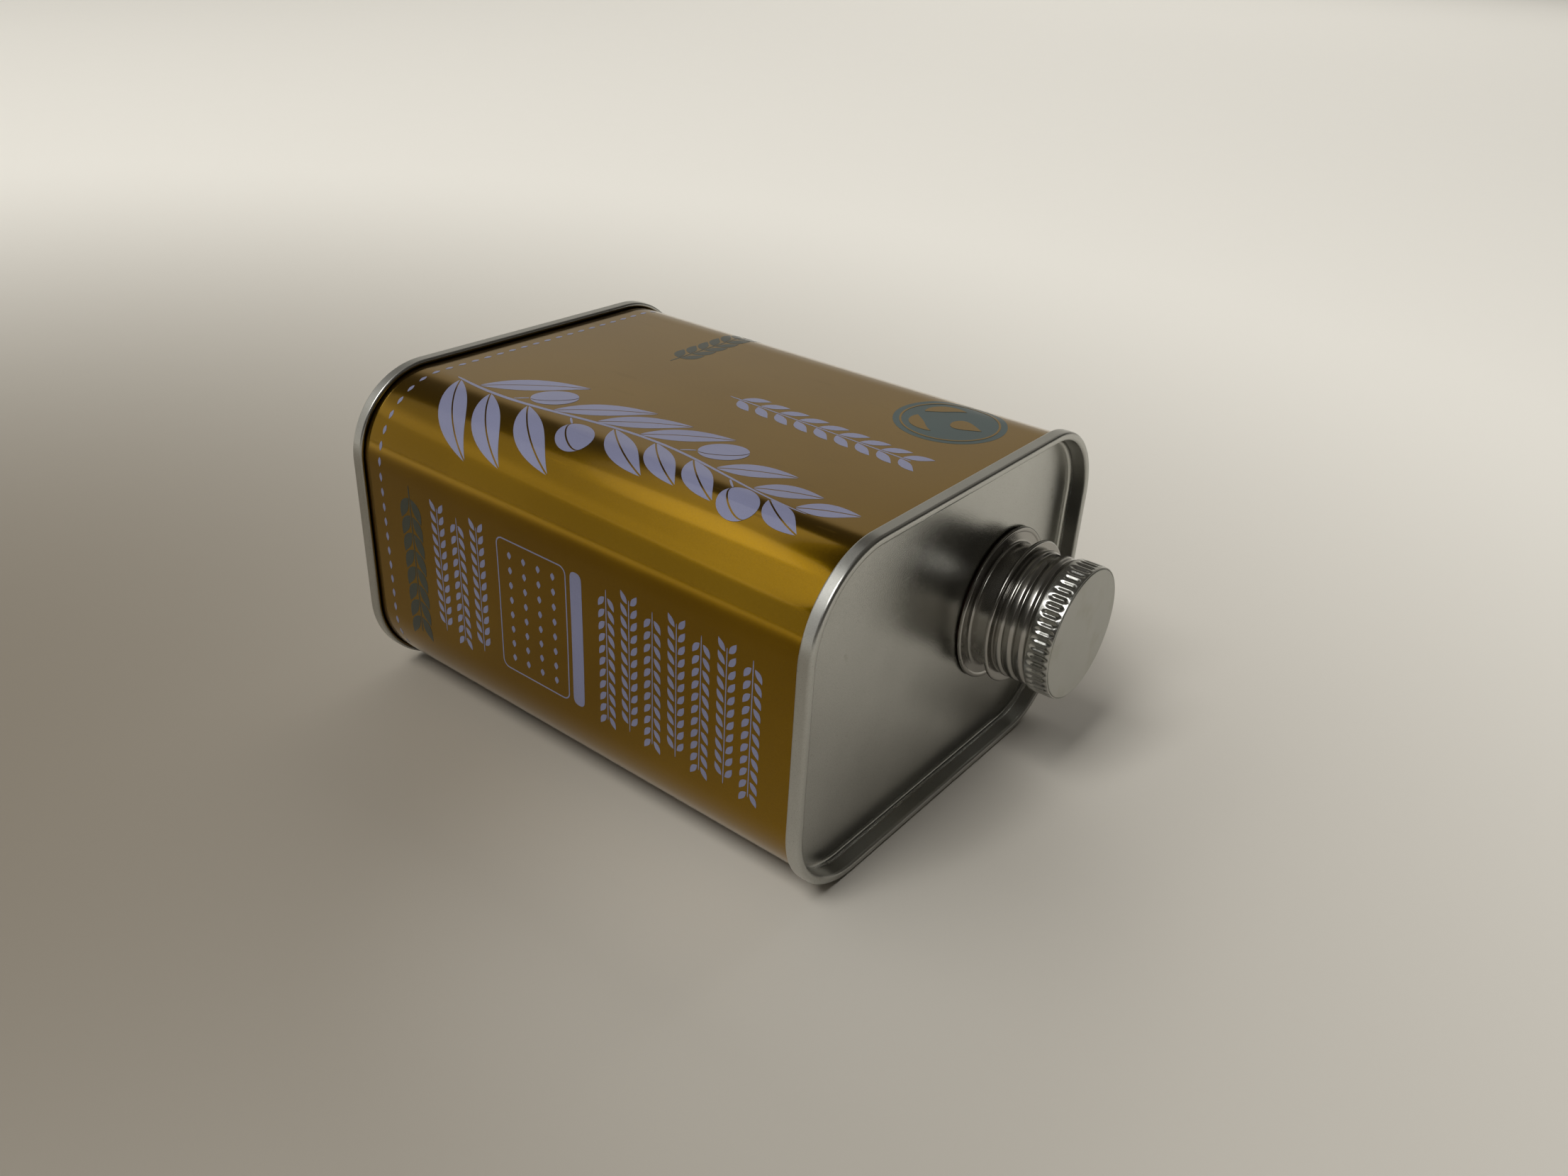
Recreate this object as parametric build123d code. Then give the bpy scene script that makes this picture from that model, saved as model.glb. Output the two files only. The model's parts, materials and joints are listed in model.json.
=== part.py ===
"""A flat rectangular tinplate oil tin with a screw neck, lying on one broad face.

Every piece is drawn upright, with the tin's bottom on the XY plane, its width along X,
its depth along Y and its height along Z. The finished pieces are then laid down, so that
the height runs along +X, the width along +Y and the depth along +Z.
"""
from build123d import *
import os

os.makedirs("parts", exist_ok=True)

# Overall sizes of the tin in millimetres, measured over its double seams
tin_width = 88.7
tin_depth = 64.6
tin_height = 110.0
corner_radius = 16.9

# Tinplate sheet, its folds and the double seams that join the ends to the wall
plate = 0.26
fold_gap = 0.07
bend_radius = 0.15
seam_height = 2.6
seam_crest_radius = 0.6
hook_clearance = 0.12
compound_depth = 0.3
compound_clearance = 0.05
compound_width = 0.5

# Sunk panel of each end
countersink = 3.5
countersink_radius = 0.9
chuck_draft = 0.25
panel_lap = 1.2

# Welded lap of the side seam, on the narrow side that the neck is near
weld_width = 1.0
weld_height = 0.15
weld_clearance = 0.8

# Neck: a spun tinplate nozzle clinched into the top end
neck_offset = 20.15
neck_radius = 12.0
neck_height = 15.25
flange_width = 3.0
flange_gap = 0.1
clinch_width = 1.4
clinch_clearance = 0.04
hole_clearance = 0.06
bead_reach = 1.9
bead_height = 0.9
bead_level = 5.0
ridge_reach = 0.4
ridge_height = 1.3
ridge_level = 6.15
ridge_slope = 0.3
neck_bend_radius = 0.22
lip_width = 1.0
lip_hem = 0.9

# Gasket ring under the flange of the neck
gasket_thickness = 0.25
gasket_margin = 0.7

# Pouring insert, pressed into the mouth of the neck
insert_flange_margin = 0.4
insert_flange_thickness = 0.6
insert_wall = 0.8
insert_depth = 7.0
insert_floor = 0.9
insert_clearance = 0.05
spout_radius = 4.6
spout_wall = 0.7
spout_flare = 0.7
spout_flare_height = 1.4
insert_edge_radius = 0.2
drain_radius = 1.2
drain_count = 3

# Screw cap with its liner, from the room that the neck's thread takes in it
thread_room = 0.3
cap_height = 4.75
cap_plate = 0.25
cap_hem_height = 0.5
cap_edge_radius = 0.4
cap_inner_edge_radius = 0.15
knurl_band = 0.55
hem_inset = 0.09
shoulder_inset = 0.42
shoulder_height = 0.6
knurl_step = 0.15
flute_count = 50
flute_radius = 0.45
flute_depth = 0.32
liner_thickness = 1.2
liner_clearance = 0.05
liner_side_clearance = 0.3

# One overrun for every cut
overrun = 2.0

# Places that follow from the sizes above
layer = plate + fold_gap
fold_radius = bend_radius + plate / 2
panel_level = tin_height - countersink
hole_radius = neck_radius + plate + hole_clearance
flange_radius = neck_radius + flange_width
bead_radius = neck_radius + bead_reach
ridge_radius = neck_radius + ridge_reach
insert_flange_radius = neck_radius - insert_flange_margin
knurl_inner_radius = neck_radius + thread_room
knurl_radius = knurl_inner_radius + knurl_band
cap_radius = knurl_radius - hem_inset
shoulder_radius = knurl_radius - shoulder_inset
lip_level = panel_level + neck_height
insert_top = lip_level + insert_flange_thickness
cap_top = insert_top + 2 * liner_clearance + liner_thickness + cap_plate
cap_rim = cap_top - cap_height
overall_height = cap_top

lying = Plane(
    origin=(-overall_height / 2, 0, tin_depth / 2),
    x_dir=(0, 1, 0),
    z_dir=(1, 0, 0),
)


def strip(points, radii, thickness):
    """A strip of sheet: its middle line through the points, bent with the radii."""
    return trace(FilletPolyline(*points, radius=radii), thickness)


def outline(points, radii):
    """A closed face with one radius for each of its points, where 0 keeps it sharp."""
    face = make_face(Polyline(*points, close=True))
    for point, radius in zip(points, radii):
        if radius > 0:
            corner = face.vertices().sort_by_distance((*point, 0))[0]
            face = fillet(corner, radius)
    return face


def around_tin(section, level=0):
    """Carry a section round the tin, drawn with X outward from the seam's outer face."""
    path = RectangleRounded(tin_width, tin_depth, corner_radius).wire()
    along = path % 0
    outward = along.cross(Vector(0, 0, 1))
    start = Plane(origin=path @ 0, x_dir=outward, z_dir=-along)
    return Pos(0, 0, level) * sweep((start * section).face(), path=path)


def turned(section):
    """Turn a section drawn in the XZ plane once round the axis of the neck."""
    return Pos(neck_offset, 0, 0) * revolve((Plane.XZ * section).face(), axis=Axis.Z)


def layer_middle(count):
    """The middle of one of the seam's sheet layers, counted from its outer face."""
    return -plate / 2 - count * layer


def wall_section():
    """The tin's wall with the hook that its flange is rolled into at each end."""
    hook = layer_middle(1)
    wall = layer_middle(3)
    top_fold = tin_height - plate - compound_depth - plate / 2
    top_tip = tin_height - seam_height + plate + bend_radius + hook_clearance
    points = [
        (hook, top_tip),
        (hook, top_fold),
        (wall, top_fold),
        (wall, tin_height - top_fold),
        (hook, tin_height - top_fold),
        (hook, tin_height - top_tip),
    ]
    return strip(points, [fold_radius] * 4, plate)


def end_section():
    """The rim of an end: cover hook, seaming wall, crest, chuck wall and panel edge."""
    hook = layer_middle(2)
    outer = layer_middle(0)
    chuck = layer_middle(4)
    hook_tip = -2 * plate - compound_depth - bend_radius - hook_clearance
    foot = -seam_height + plate / 2
    crest = -plate / 2
    panel = -countersink - plate / 2
    points = [
        (hook, hook_tip),
        (hook, foot),
        (outer, foot),
        (outer, crest),
        (chuck, crest),
        (chuck - chuck_draft, panel),
        (chuck - chuck_draft - panel_lap, panel),
    ]
    crest_bend = seam_crest_radius - plate / 2
    panel_bend = countersink_radius + plate / 2
    radii = [fold_radius, fold_radius, crest_bend, crest_bend, panel_bend]
    return strip(points, radii, plate)


def make_end():
    """An end without a hole, with the crest of its seam at the level of the tin's top."""
    inset = layer_middle(4) - chuck_draft - panel_lap
    panel = Pos(0, 0, panel_level - plate) * extrude(
        RectangleRounded(
            tin_width + 2 * inset, tin_depth + 2 * inset, corner_radius + inset
        ),
        amount=plate,
    )
    return around_tin(end_section(), tin_height) + panel


def make_body_wall():
    """The wall, with the welded lap standing a little proud on one narrow side."""
    wall = around_tin(wall_section())
    face = tin_width / 2 - 3 * layer
    bottom = seam_height + weld_clearance
    lap = Pos(face + weld_height / 2 - plate / 2, 0, tin_height / 2) * Box(
        weld_height + plate, weld_width, tin_height - 2 * bottom
    )
    return wall + lap


def make_top_end():
    """The top end, pierced for the neck."""
    hole = Pos(neck_offset, 0, panel_level) * Cylinder(hole_radius, overrun)
    return make_end() - hole


def make_bottom_end():
    """The bottom end, which is the same pressing upside down and not pierced."""
    return Pos(0, 0, tin_height) * mirror(make_end(), about=Plane.XY)


def make_seam_compound():
    """The bead of sealing compound under the crest of the top seam."""
    middle = layer_middle(2)
    height = compound_depth - 2 * compound_clearance
    top = tin_height - plate - compound_clearance
    section = Pos(middle, top - height / 2) * Rectangle(compound_width, height)
    return around_tin(section)


def neck_section():
    """The sheet of the neck, from the clinch under the panel to the rolled lip."""
    wall = neck_radius - plate / 2
    spigot = hole_radius - hole_clearance - plate / 2
    edge = flange_radius - plate / 2
    bead = bead_radius - plate / 2
    ridge = ridge_radius - plate / 2
    lip = lip_level - plate / 2
    flange_low = panel_level + gasket_thickness + plate / 2
    flange_high = flange_low + plate + flange_gap
    clinch = panel_level - plate - clinch_clearance - plate / 2
    bead_low = panel_level + bead_level
    bead_high = bead_low + bead_height - plate
    ridge_low = panel_level + ridge_level
    ridge_high = ridge_low + ridge_height
    points = [
        (hole_radius + clinch_width, clinch),
        (spigot, clinch),
        (spigot, flange_low),
        (edge, flange_low),
        (edge, flange_high),
        (wall, flange_high),
        (wall, bead_low),
        (bead, bead_low),
        (bead, bead_high),
        (wall, bead_high),
        (wall, ridge_low),
        (ridge, ridge_low + ridge_slope),
        (ridge, ridge_high - ridge_slope),
        (wall, ridge_high),
        (wall, lip),
        (wall - lip_width, lip),
        (wall - lip_width, lip - lip_hem),
    ]
    tight = (plate + flange_gap) / 2
    bend = neck_bend_radius + plate / 2
    radii = [fold_radius, tight, tight, tight, bend, bend]
    radii += [fold_radius] * 7 + [bend, bend]
    return strip(points, radii, plate)


def make_neck():
    """The neck as one spun strip, with its bead, its ridge and its rolled lip."""
    return turned(neck_section())


def make_neck_gasket():
    """The flat ring that is squeezed between the flange and the panel."""
    inner = hole_radius + hole_clearance
    outer = flange_radius - gasket_margin
    ring = Cylinder(outer, gasket_thickness) - Cylinder(inner, gasket_thickness)
    return Pos(neck_offset, 0, panel_level + gasket_thickness / 2) * ring


def insert_section():
    """The insert: flange, plug wall, drip moat and pouring spout with a flared edge."""
    plug = neck_radius - plate - lip_width - insert_clearance
    moat = plug - insert_wall
    spout = spout_radius + spout_wall
    bottom = lip_level - insert_depth
    floor = bottom + insert_floor
    flare = insert_top - spout_flare_height
    points = [
        (insert_flange_radius, lip_level),
        (insert_flange_radius, insert_top),
        (moat, insert_top),
        (moat, floor),
        (spout, floor),
        (spout, flare),
        (spout + spout_flare, insert_top),
        (spout_radius + spout_flare, insert_top),
        (spout_radius, flare),
        (spout_radius, bottom),
        (plug, bottom),
        (plug, lip_level),
    ]
    round_edge = insert_edge_radius
    radii = [0, round_edge, round_edge, round_edge, round_edge, 0]
    radii += [0, 0, 0, round_edge, round_edge, 0]
    return outline(points, radii)


def make_pour_insert():
    """The pouring insert, with drains through the floor of its moat."""
    plug = neck_radius - plate - lip_width - insert_clearance
    spout = spout_radius + spout_wall
    ring = (spout + plug - insert_wall) / 2
    drain = Cylinder(drain_radius, overrun + insert_floor)
    level = lip_level - insert_depth + insert_floor / 2
    drains = [
        Pos(neck_offset, 0, level) * place * drain
        for place in PolarLocations(ring, drain_count)
    ]
    return turned(insert_section()) - drains


def cap_section():
    """Half the cap's section: flat top, edge, knurled band, plain hem and the inside."""
    high = cap_top - shoulder_height
    low = cap_rim + cap_hem_height
    inside = cap_top - cap_plate
    inner_shoulder = shoulder_radius - cap_plate
    points = [
        (0, cap_top),
        (shoulder_radius, cap_top),
        (shoulder_radius, high),
        (knurl_radius, high - knurl_step),
        (knurl_radius, low + knurl_step),
        (cap_radius, low),
        (cap_radius, cap_rim),
        (cap_radius - cap_plate, cap_rim),
        (cap_radius - cap_plate, low),
        (knurl_inner_radius, low + knurl_step),
        (knurl_inner_radius, high - cap_plate - knurl_step),
        (inner_shoulder, high - cap_plate),
        (inner_shoulder, inside),
        (0, inside),
    ]
    radii = [0, cap_edge_radius] + [0] * 9 + [cap_inner_edge_radius, 0]
    return outline(points, radii)


def make_flute():
    """The tool of one flute: a rod with ball ends, so that the flute runs out softly."""
    high = cap_top - shoulder_height - knurl_step - flute_radius
    low = cap_rim + cap_hem_height + knurl_step + flute_radius
    rod = Pos(0, 0, (low + high) / 2) * Cylinder(flute_radius, high - low)
    ball = Sphere(flute_radius)
    return rod + Pos(0, 0, low) * ball + Pos(0, 0, high) * ball


def make_cap_shell():
    """The screw cap, with its flutes pressed in round the band."""
    ring = knurl_radius + flute_radius - flute_depth
    flute = make_flute()
    flutes = [
        Pos(neck_offset, 0, 0) * place * flute
        for place in PolarLocations(ring, flute_count)
    ]
    return turned(cap_section()) - flutes


def make_cap_liner():
    """The sealing disc that lies in the cap and closes on the insert."""
    radius = knurl_inner_radius - liner_side_clearance
    middle = insert_top + liner_clearance + liner_thickness / 2
    return Pos(neck_offset, 0, middle) * Cylinder(radius, liner_thickness)


top_compound = make_seam_compound()
pieces = {
    "body_wall": make_body_wall(),
    "top_end": make_top_end(),
    "bottom_end": make_bottom_end(),
    "top_seam_compound": top_compound,
    "bottom_seam_compound": Pos(0, 0, tin_height) * mirror(top_compound, about=Plane.XY),
    "neck": make_neck(),
    "neck_gasket": make_neck_gasket(),
    "pour_insert": make_pour_insert(),
    "cap_liner": make_cap_liner(),
    "cap_shell": make_cap_shell(),
}
for name, piece in pieces.items():
    export_step(lying.location * piece, f"parts/{name}.step")
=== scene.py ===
import json

import bmesh
import bpy
import numpy as np
from mathutils import Matrix, Vector

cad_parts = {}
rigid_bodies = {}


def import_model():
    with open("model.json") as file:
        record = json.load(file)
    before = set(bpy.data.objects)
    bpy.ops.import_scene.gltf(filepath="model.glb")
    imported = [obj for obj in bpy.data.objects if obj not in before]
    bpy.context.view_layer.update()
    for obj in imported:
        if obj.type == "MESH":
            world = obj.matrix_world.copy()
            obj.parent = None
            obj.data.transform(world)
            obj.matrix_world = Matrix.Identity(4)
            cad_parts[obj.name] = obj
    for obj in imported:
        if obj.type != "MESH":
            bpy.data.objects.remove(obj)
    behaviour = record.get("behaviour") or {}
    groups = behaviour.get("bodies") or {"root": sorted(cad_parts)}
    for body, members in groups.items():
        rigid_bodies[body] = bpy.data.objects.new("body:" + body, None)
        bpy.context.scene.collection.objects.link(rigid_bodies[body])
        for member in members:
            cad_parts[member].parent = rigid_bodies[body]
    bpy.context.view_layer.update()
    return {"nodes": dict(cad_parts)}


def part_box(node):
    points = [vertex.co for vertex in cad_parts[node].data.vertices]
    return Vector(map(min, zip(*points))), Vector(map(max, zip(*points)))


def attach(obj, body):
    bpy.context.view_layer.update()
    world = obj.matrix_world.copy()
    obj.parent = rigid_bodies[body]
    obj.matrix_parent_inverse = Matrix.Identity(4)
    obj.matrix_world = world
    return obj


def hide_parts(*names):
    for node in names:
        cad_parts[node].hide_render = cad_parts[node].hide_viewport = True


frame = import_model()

# Wall of the tin: one sheet of tinplate 0.26 mm thick, printed flat in gold, then rolled round a
# rounded rectangle and welded along the far narrow side. Each end of it is flanged outwards and
# hooked into the double seam. All sizes here and below are in metres.
seam_low, seam_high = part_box("top_end")
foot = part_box("bottom_end")[0].x
crest = seam_high.x
half_width = seam_high.y
half_depth = (seam_high.z - seam_low.z) / 2
middle_z = (seam_high.z + seam_low.z) / 2
seam_corner = 0.0169
seam_height = 0.0026
plate = 0.00026
layer = 0.00033
fold = 0.00028
wall_inset = 3 * layer
wall_corner = seam_corner - wall_inset
broad_flat = 2 * (half_width - seam_corner)
narrow_flat = 2 * (half_depth - seam_corner)
quarter = wall_corner * np.pi / 2
runs = np.array([broad_flat / 2, quarter, narrow_flat, quarter, broad_flat])
runs = np.concatenate([runs, [quarter, narrow_flat, quarter, broad_flat / 2]])
run_ends = np.concatenate([[0], np.cumsum(runs)])
girth = run_ends[-1]
near_side = run_ends[2] + narrow_flat / 2
far_side = girth - near_side
drawn_in, drawn_reach = 0.00025, 0.0014
wave_height, flat_sink = 0.000035, 0.00006
bend_step = 11
flat_hold = 0.00004
sharp_angle = 38
merge_reach = 2e-7


def round_the_tin(s):
    """The rounded rectangle of the wall, walked from the middle of the upper broad face towards
    the near narrow side. The corner's centre and the outward angle are both straight-line
    functions of the walked length s: the centre moves on the flats, the angle on the corners."""
    s = np.mod(s, girth)
    side, rise = broad_flat / 2, narrow_flat / 2
    centre_y = np.interp(s, run_ends, [0] + [-side] * 4 + [side] * 4 + [0])
    centre_z = np.interp(s, run_ends, [rise] * 3 + [-rise] * 4 + [rise] * 3)
    angle = np.interp(s, run_ends, np.pi / 2 * np.array([1, 1, 2, 2, 3, 3, 4, 4, 5, 5]))
    return centre_y, centre_z, np.cos(angle), np.sin(angle)


def tin_point(x, s, lift):
    """A point at length x, walked s round the tin, and lift outside the wall's face: the
    corner's centre plus the wall's corner radius and the lift along the outward direction."""
    centre_y, centre_z, out_y, out_z = round_the_tin(s)
    radius = wall_corner + lift
    x = x + 0 * radius * s
    y = centre_y + radius * out_y + 0 * x
    z = middle_z + centre_z + radius * out_z + 0 * x
    return np.stack([x, y, z], axis=-1)


def wall_relief(x, s):
    """How far the wall's face stands out from its plain form. It is drawn in over the last
    millimetres before each seam, as an exponential, and its flats are a little wavy, as the
    product of two slow sines that fade to nothing at the corners."""
    height = (x - foot) / (crest - foot)
    near_seam = np.exp(-np.minimum(x - foot, crest - x) / drawn_reach)
    along_flat = np.interp(np.mod(s, girth), run_ends, [0.5, 1, 1, 2, 2, 3, 3, 4, 4, 4.5])
    loose = np.sin(np.pi * along_flat) ** 2 * np.sin(np.pi * height)
    turns = 2 * np.pi * s / girth
    waves = np.sin(3 * turns + 5.1 * height) + np.sin(5 * turns - 8.3 * height + 1)
    return -drawn_in * near_seam + loose * (wave_height * waves - flat_sink)


def wall_point(x, s, lift=0.0):
    """A point on the wall's real face, or lift above it: the plain form plus its relief."""
    return tin_point(x, s, wall_relief(x, s) + lift)


def bent(points, radii, spacing, closed=False):
    """A line through the points with rounded corners. A corner's arc is the vector from its
    centre, turned from one tangent point to the other; runs between arcs are divided evenly,
    with one more point close to each arc so that the shading stays flat along the run. The
    spacing is one value for all runs or one value for each."""
    points = np.array(points, float)
    back = np.roll(points, 1, axis=0) - points
    ahead = np.roll(points, -1, axis=0) - points
    back /= np.linalg.norm(back, axis=1, keepdims=True)
    ahead /= np.linalg.norm(ahead, axis=1, keepdims=True)
    turn = np.arccos(np.clip(-(back * ahead).sum(axis=1), -1, 1))
    rounded = []
    for point, radius, behind, before, angle in zip(points, radii, back, ahead, turn):
        if radius == 0:
            rounded.append(point[None])
            continue
        reach = radius * np.tan(angle / 2)
        middle = (behind + before) / np.linalg.norm(behind + before)
        centre = point + middle * radius / np.cos(angle / 2)
        steps = max(2, int(np.ceil(np.degrees(angle) / bend_step)))
        share = np.linspace(0, 1, steps + 1)[:, None]
        first, last = point + behind * reach - centre, point + before * reach - centre
        swing = np.sin((1 - share) * angle) * first + np.sin(share * angle) * last
        rounded.append(centre + swing / np.sin(angle))
    line = [rounded[0]]
    following = rounded[1:] + rounded[:1] * closed
    for old, new, step in zip(rounded, following, np.resize(spacing, len(rounded))):
        start, end = old[-1], new[0]
        length = np.linalg.norm(end - start)
        steps = int(np.ceil(length / step))
        share = np.linspace(0, 1, steps + 1)[1:-1] if steps > 1 else np.zeros(0)
        if flat_hold < 0.3 * length:
            hold = flat_hold / length
            share = np.unique(np.concatenate([[hold], share, [1 - hold]]))
        line.append(start + share[:, None] * (end - start))
        line.append(new)
    return np.concatenate(line[:-1] if closed else line)


def sheet(points, radii, thickness, spacing):
    """The closed outline of a bent strip of sheet. Both faces are the middle line moved
    sideways by half the thickness, so a bend's radius grows on one face and shrinks on the
    other, and the strip's ends are cut square."""
    points = np.array(points, float)
    run = np.diff(points, axis=0)
    run /= np.linalg.norm(run, axis=1, keepdims=True)
    left = np.stack([-run[:, 1], run[:, 0]], axis=1)
    before, after = np.concatenate([left[:1], left]), np.concatenate([left, left[-1:]])
    mitre = (before + after) / (1 + (before * after).sum(axis=1, keepdims=True))
    turning = np.sign(run[:-1, 0] * run[1:, 1] - run[:-1, 1] * run[1:, 0])
    half = thickness / 2
    faces = []
    for side in (1, -1):
        corner = np.maximum(np.array(radii) - side * half * turning, 0)
        faces.append(bent(points + side * half * mitre, [0, *corner, 0], spacing))
    return faces


def make_piece(name, grids, close_rows=True, poles=False):
    """A mesh over one grid of points or a stack of equal ones, with a face between each four
    neighbours. Columns always close on themselves, rows only if asked; poles are merged. A
    negative enclosed volume turns all faces over, so that they point outwards."""
    rows, columns = grids.shape[-3:-1]
    grid = np.arange(grids.size // (3 * rows * columns))[:, None, None] * rows * columns
    row = np.arange(rows if close_rows else rows - 1)[:, None]
    column = np.arange(columns)
    below, beside = (row + 1) % rows * columns, (column + 1) % columns
    corners = [row * columns + column, row * columns + beside, below + beside, below + column]
    faces = np.stack([grid + corner for corner in corners], axis=-1).reshape(-1, 4)
    points = grids.reshape(-1, 3)
    a, b, c, d = (points[faces[:, k]] for k in range(4))
    volume = (a * np.cross(b, c)).sum() + (a * np.cross(c, d)).sum()
    if volume < 0:
        faces = faces[:, ::-1]
    mesh = bpy.data.meshes.new(name)
    mesh.from_pydata(points.tolist(), [], faces.tolist())
    if poles:
        whole = bmesh.new()
        whole.from_mesh(mesh)
        bmesh.ops.remove_doubles(whole, verts=whole.verts, dist=merge_reach)
        whole.to_mesh(mesh)
        whole.free()
    mesh.shade_smooth()
    mesh.set_sharp_from_angle(angle=np.radians(sharp_angle))
    piece = bpy.data.objects.new(name, mesh)
    bpy.context.scene.collection.objects.link(piece)
    return piece


hook_room, hook_clearance = 0.0003, 0.00027
hook_drop = plate + hook_room + plate / 2
hook_tip = seam_height - plate - hook_clearance
wall_line = [
    (crest - hook_tip, 2 * layer - plate / 2),
    (crest - hook_drop, 2 * layer - plate / 2),
    (crest - hook_drop, -plate / 2),
    (foot + hook_drop, -plate / 2),
    (foot + hook_drop, 2 * layer - plate / 2),
    (foot + hook_tip, 2 * layer - plate / 2),
]
wall_spacing = 0.0016
columns_round = 340
wall_faces = sheet(wall_line, [fold] * 4, plate, wall_spacing)
wall_loop = np.concatenate([wall_faces[0], wall_faces[1][::-1]])
wall_steps = np.arange(0, girth, girth / columns_round)
x, s = wall_loop[:, 0][:, None], wall_steps[None, :]
tin_wall = make_piece("tin_wall", wall_point(x, s, wall_loop[:, 1][:, None]))


class Shade:
    """A value, colour or vector on its way through a finish's nodes. Sums written on it add
    Math nodes, and make() adds any other node."""

    def __init__(self, tree, socket=None):
        self.tree = tree
        self.socket = socket

    def make(self, kind, settings=None, inputs=None, output=0):
        node = self.tree.nodes.new("ShaderNode" + kind)
        for key, value in (settings or {}).items():
            setattr(node, key, value)
        for key, value in (inputs or {}).items():
            if isinstance(value, Shade):
                self.tree.links.new(value.socket, node.inputs[key])
            else:
                node.inputs[key].default_value = value
        return Shade(self.tree, node.outputs[output] if len(node.outputs) else None)

    def sum(self, operation, first, second):
        return self.make("Math", {"operation": operation}, {0: first, 1: second})

    def __add__(self, other):
        return self.sum("ADD", self, other)

    __radd__ = __add__

    def __mul__(self, other):
        return self.sum("MULTIPLY", self, other)

    __rmul__ = __mul__

    def __sub__(self, other):
        return self.sum("SUBTRACT", self, other)

    def __rsub__(self, other):
        return self.sum("SUBTRACT", other, self)

    def __pow__(self, other):
        return self.sum("POWER", self, other)

    def __abs__(self):
        return self.make("Math", {"operation": "ABSOLUTE"}, {0: self})

    def axis(self, number):
        """The first, second or third part of a vector, counted from 0."""
        return self.make("SeparateXYZ", None, {"Vector": self}, number)

    def between(self, low, high):
        """0 up to low, 1 from high on, and smooth in between."""
        bounds = {"Value": self, "From Min": low, "From Max": high}
        return self.make("MapRange", {"interpolation_type": "SMOOTHSTEP"}, bounds)

    def mixed(self, first, second):
        """The first colour where this is 0 and the second where it is 1."""
        return self.make("Mix", {"data_type": "RGBA"}, {0: self, 6: first, 7: second}, 2)

    def noise(self, scale, detail=2.0, stretch=(1, 1, 1), roughness=0.5):
        """Noise of so many lumps a metre on these coordinates, which are stretched first."""
        place = self.make("Mapping", None, {"Vector": self, "Scale": stretch})
        inputs = {"Vector": place, "Scale": scale, "Detail": detail, "Roughness": roughness}
        return self.make("TexNoise", None, inputs)


def paint(red, green, blue):
    """A colour given as it shows on a screen, 0 to 255, turned into the light it stands for."""
    share = np.array([red, green, blue]) / 255
    light = np.where(share > 0.04045, ((share + 0.055) / 1.055) ** 2.4, share / 12.92)
    return (*light.tolist(), 1.0)


def new_finish(name):
    """An empty material and its object coordinates, from which its other nodes are made."""
    material = bpy.data.materials.new(name)
    material.use_nodes = True
    material.node_tree.nodes.clear()
    place = Shade(material.node_tree).make("TexCoord", output="Object")
    return material, place


def close_finish(place, inputs):
    """The shader that the finish ends in, joined to the material's output."""
    shader = place.make("BsdfPrincipled", None, inputs)
    place.make("OutputMaterial", None, {"Surface": shader})


def dress(piece, material):
    """Give a piece its one material."""
    piece.data.materials.clear()
    piece.data.materials.append(material)


# Gold print on the wall: a metallic gold ink, rolled on while the sheet is flat and varnished
# over. The strip along the weld stays bare.
bare_width = 0.0066
bare_edge = 0.0001
far_face_depth = 0.0036


def varnished(name):
    """A new finish with what all inks share: the bump of the fine flake and of the rolled
    sheet under them, the slow cloudiness and the light scuffs of the varnish."""
    material, place = new_finish(name)
    flake = place.noise(5200, 2)
    rolled = place.noise(900, 2, stretch=(1, 0.05, 0.05))
    bump = place.make("Bump", None, {
        "Strength": 0.3, "Distance": 0.00001, "Height": flake * 0.6 + rolled * 0.4,
    })
    cloud = place.noise(45, 3)
    scuff = place.noise(700, 3, stretch=(0.12, 1, 1)).between(0.66, 0.72)
    return material, place, flake, cloud, 0.05 * cloud + 0.08 * scuff, bump


gold_print, place, flake, cloud, wear, bump = varnished("gold_print")
y, z = place.axis(1), place.axis(2)
far_face = half_width - far_face_depth
bare = y.between(far_face - 4 * bare_edge, far_face)
bare = bare * (1 - abs(z - middle_z).between(bare_width / 2 - bare_edge, bare_width / 2 + bare_edge))
gold = (cloud * 0.5 + flake * 0.5).between(0.3, 0.7)
gold = gold.mixed(paint(131, 99, 7), paint(141, 108, 13))
close_finish(place, {
    "Base Color": bare.mixed(gold, paint(180, 178, 171)),
    "Metallic": 1.0,
    "Roughness": 0.1 + 0.05 * flake + wear,
    "Coat Weight": 0.25 - 0.05 * bare,
    "Coat Roughness": 0.05,
    "Coat IOR": 1.4,
    "Normal": bump,
})
dress(tin_wall, gold_print)
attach(tin_wall, "tin")
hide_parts("body_wall")


# Side weld: where the two edges of the sheet lap, one over the other, a wheel welds them into a
# narrow, slightly raised seam down the middle of the bare strip.
weld_width, weld_height, weld_sink = 0.001, 0.00015, 0.00005
weld_margin = 0.003
bead_height, bead_pitch = 0.00001, 0.0006
lap = np.linspace(-1, 1, 15)
weld_s = far_side + np.concatenate([lap, lap[::-1]]) * weld_width / 2
weld_lift = np.concatenate([weld_height * (1 - lap ** 8), lap * 0 - weld_sink])
weld_x = np.linspace(foot + weld_margin, crest - weld_margin, 420)[:, None]
beads = bead_height * np.sin(2 * np.pi * weld_x / bead_pitch)
x = np.concatenate([weld_x[:1], weld_x, weld_x[-1:]])
lift = np.concatenate([weld_lift[None] * 0, weld_lift + beads * (weld_lift > 0), weld_lift[None] * 0])
s = np.concatenate([weld_s[None] * 0 + far_side, weld_s + 0 * weld_x, weld_s[None] * 0 + far_side])
side_weld = make_piece("side_weld", wall_point(x, s, lift), close_rows=False, poles=True)
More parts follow.
